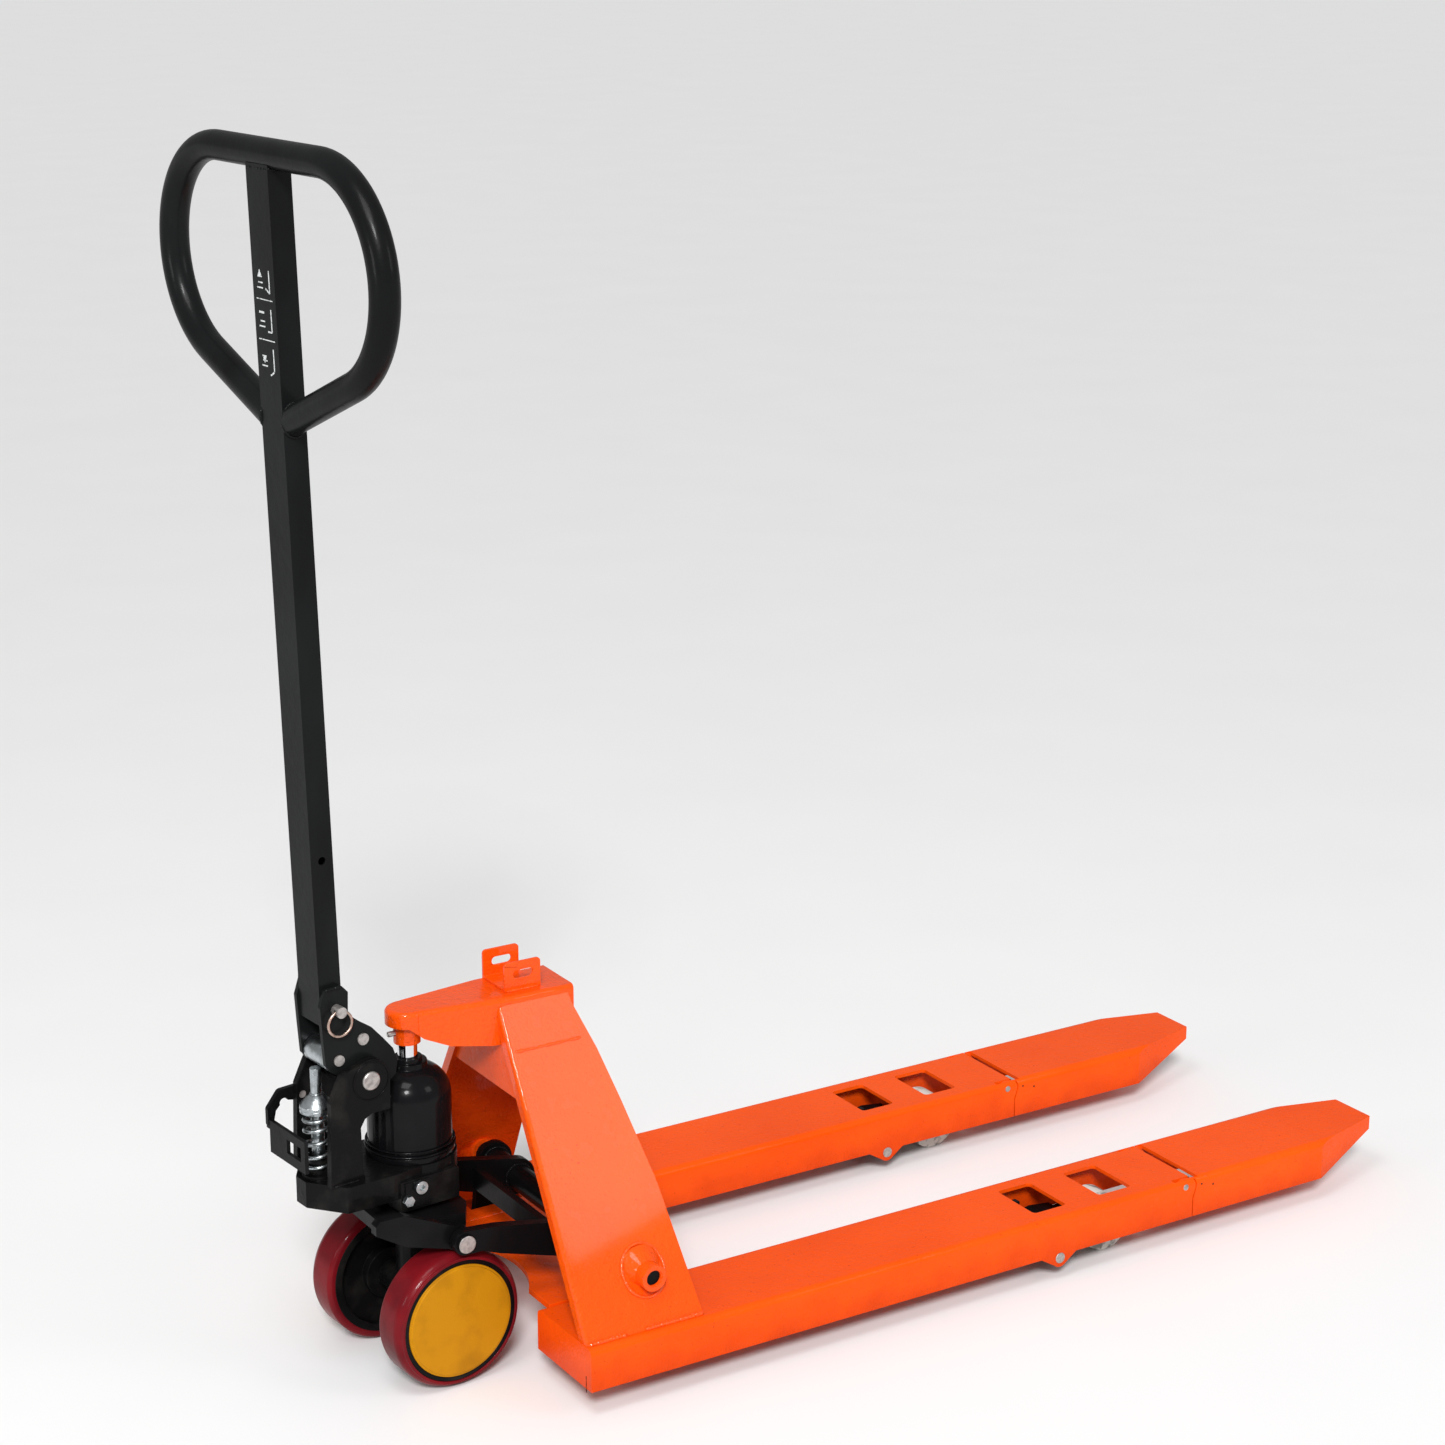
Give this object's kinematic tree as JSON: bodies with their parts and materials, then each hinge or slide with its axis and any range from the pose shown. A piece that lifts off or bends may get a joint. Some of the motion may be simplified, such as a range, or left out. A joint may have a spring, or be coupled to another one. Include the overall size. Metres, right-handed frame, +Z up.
{
  "type": "pallet jack",
  "caption": "Low-lift hand pallet jack: two forks with folding tips, load rollers on swing arms, hydraulic hand pump and a steered wheel unit with a loop handle.",
  "frame": {"origin": "on the floor under the steering axis, which is the axis of the lift ram", "axes": "+X along the forks to their tips, +Y to the left of someone at the handle who looks along the forks, +Z up"},
  "size_m": [1.5925, 0.542, 1.5402],
  "materials": {
    "orange_paint": "glossy, slightly orange-peeled",
    "black_paint": "semi-gloss",
    "bare_steel": "satin, lightly oiled",
    "zinc_plate": "bright plated",
    "ram_chrome": "polished",
    "red_tread": "smooth polyurethane",
    "yellow_cap": "satin",
    "roller_nylon": "satin"
  },
  "bodies": {
    "carriage": {"carriage": "black_paint", "thrust_bearing": "bare_steel"},
    "frame": {"fork_left": "orange_paint", "fork_right": "orange_paint", "cross_plate": "orange_paint", "side_plate_left": "orange_paint", "side_plate_right": "orange_paint", "front_panel": "orange_paint", "back_panel": "orange_paint", "crosshead": "orange_paint", "lock_bracket": "orange_paint", "lift_ram": "ram_chrome", "head_screw": "zinc_plate", "tip_pins": "bare_steel", "arm_pins": "bare_steel"},
    "pump": {"pump_base": "black_paint", "pump_tank": "black_paint", "valve_fittings": "bare_steel", "axle_stem": "black_paint", "axle": "bare_steel", "pivot_pin": "bare_steel", "return_spring": "zinc_plate"},
    "wheel_left": {"tyre_left": "red_tread", "wheel_left": "black_paint", "wheel_cap_left": "yellow_cap"},
    "wheel_right": {"tyre_right": "red_tread", "wheel_right": "black_paint", "wheel_cap_right": "yellow_cap"},
    "handle": {"handle_bracket": "black_paint", "mast": "black_paint", "grip_loop": "black_paint", "bracket_pins": "bare_steel"},
    "pump_roller": {"pump_roller": "zinc_plate"},
    "piston": {"pump_piston": "zinc_plate"},
    "pedal": {"release_pedal": "black_paint"},
    "ring": {"pin_ring": "bare_steel"},
    "rocker": {"rocker": "black_paint"},
    "rod_left": {"push_rod_left": "black_paint"},
    "rod_right": {"push_rod_right": "black_paint"},
    "arm_left": {"roller_arm_left": "black_paint"},
    "arm_right": {"roller_arm_right": "black_paint"},
    "roller_left": {"load_roller_left": "roller_nylon"},
    "roller_right": {"load_roller_right": "roller_nylon"},
    "tip_left": {"tip_left": "orange_paint"},
    "tip_right": {"tip_right": "orange_paint"}
  },
  "joints": [
    {"name": "lift", "type": "slide", "parent": "carriage", "child": "frame", "axis": [0, 0, 1], "range_m": [0, 0.095]},
    {"name": "rocker_turn", "type": "hinge", "parent": "frame", "child": "rocker", "pos_m": [0.206, 0, 0.155], "axis": [0, -1, 0], "range_deg": [0, 28.2]},
    {"name": "rod_left_swing", "type": "hinge", "parent": "rocker", "child": "rod_left", "pos_m": [0.1845, 0.185, 0.0686], "axis": [0, 1, 0], "range_deg": [0, 28.2]},
    {"name": "arm_left_swing", "type": "hinge", "parent": "frame", "child": "arm_left", "pos_m": [0.823, 0.202, 0.033], "axis": [0, 1, 0], "range_deg": [0, 57]},
    {"name": "roller_left_spin", "type": "hinge", "parent": "arm_left", "child": "roller_left", "pos_m": [0.934, 0.202, 0.038], "axis": [0, 1, 0], "continuous": true},
    {"name": "tip_left_fold", "type": "hinge", "parent": "frame", "child": "tip_left", "pos_m": [1.038, 0.202, 0.083], "axis": [0, -1, 0], "range_deg": [0, 90]},
    {"name": "rod_right_swing", "type": "hinge", "parent": "rocker", "child": "rod_right", "pos_m": [0.1845, -0.185, 0.0686], "axis": [0, 1, 0], "range_deg": [0, 28.2]},
    {"name": "arm_right_swing", "type": "hinge", "parent": "frame", "child": "arm_right", "pos_m": [0.823, -0.202, 0.033], "axis": [0, 1, 0], "range_deg": [0, 57]},
    {"name": "roller_right_spin", "type": "hinge", "parent": "arm_right", "child": "roller_right", "pos_m": [0.934, -0.202, 0.038], "axis": [0, 1, 0], "continuous": true},
    {"name": "tip_right_fold", "type": "hinge", "parent": "frame", "child": "tip_right", "pos_m": [1.038, -0.202, 0.083], "axis": [0, -1, 0], "range_deg": [0, 90]},
    {"name": "steer", "type": "hinge", "parent": "carriage", "child": "pump", "pos_m": [0, 0, 0.2], "axis": [0, 0, 1], "range_deg": [-95, 85]},
    {"name": "wheel_left_spin", "type": "hinge", "parent": "pump", "child": "wheel_left", "pos_m": [-0.00741, 0.08468, 0.09], "axis": [-0.0872, 0.9962, 0], "continuous": true},
    {"name": "wheel_right_spin", "type": "hinge", "parent": "pump", "child": "wheel_right", "pos_m": [0.00741, -0.08468, 0.09], "axis": [-0.0872, 0.9962, 0], "continuous": true},
    {"name": "handle_tilt", "type": "hinge", "parent": "pump", "child": "handle", "pos_m": [-0.0797, -0.00697, 0.41], "axis": [0.0872, -0.9962, 0], "range_deg": [0, 70], "stiffness_Nm_per_rad": 40, "springref_deg": -22.92},
    {"name": "roller_spin", "type": "hinge", "parent": "handle", "child": "pump_roller", "pos_m": [-0.11456, -0.01002, 0.44], "axis": [-0.0872, 0.9962, 0], "continuous": true},
    {"name": "piston_stroke", "type": "slide", "parent": "pump", "child": "piston", "axis": [0, 0, -1], "range_m": [0, 0.055], "deforming": ["return_spring"]},
    {"name": "pedal_press", "type": "hinge", "parent": "pump", "child": "pedal", "pos_m": [-0.13187, 0.03865, 0.376], "axis": [0.0872, -0.9962, 0], "range_deg": [0, 10], "stiffness_Nm_per_rad": 2, "springref_deg": -14.32},
    {"name": "ring_swing", "type": "hinge", "parent": "handle", "child": "ring", "pos_m": [-0.11206, -0.05006, 0.506], "axis": [0.9962, 0.0872, 0], "range_deg": [-80, 8]}
  ],
  "couplings": [
    {"joint": "rocker_turn", "follows": "lift", "rad_per_m": 5.164},
    {"joint": "rod_left_swing", "follows": "lift", "rad_per_m": 5.164},
    {"joint": "arm_left_swing", "follows": "lift", "rad_per_m": 10.43},
    {"joint": "rod_right_swing", "follows": "lift", "rad_per_m": 5.164},
    {"joint": "arm_right_swing", "follows": "lift", "rad_per_m": 10.43},
    {"joint": "piston_stroke", "follows": "handle_tilt", "m_per_rad": 0.045}
  ]
}
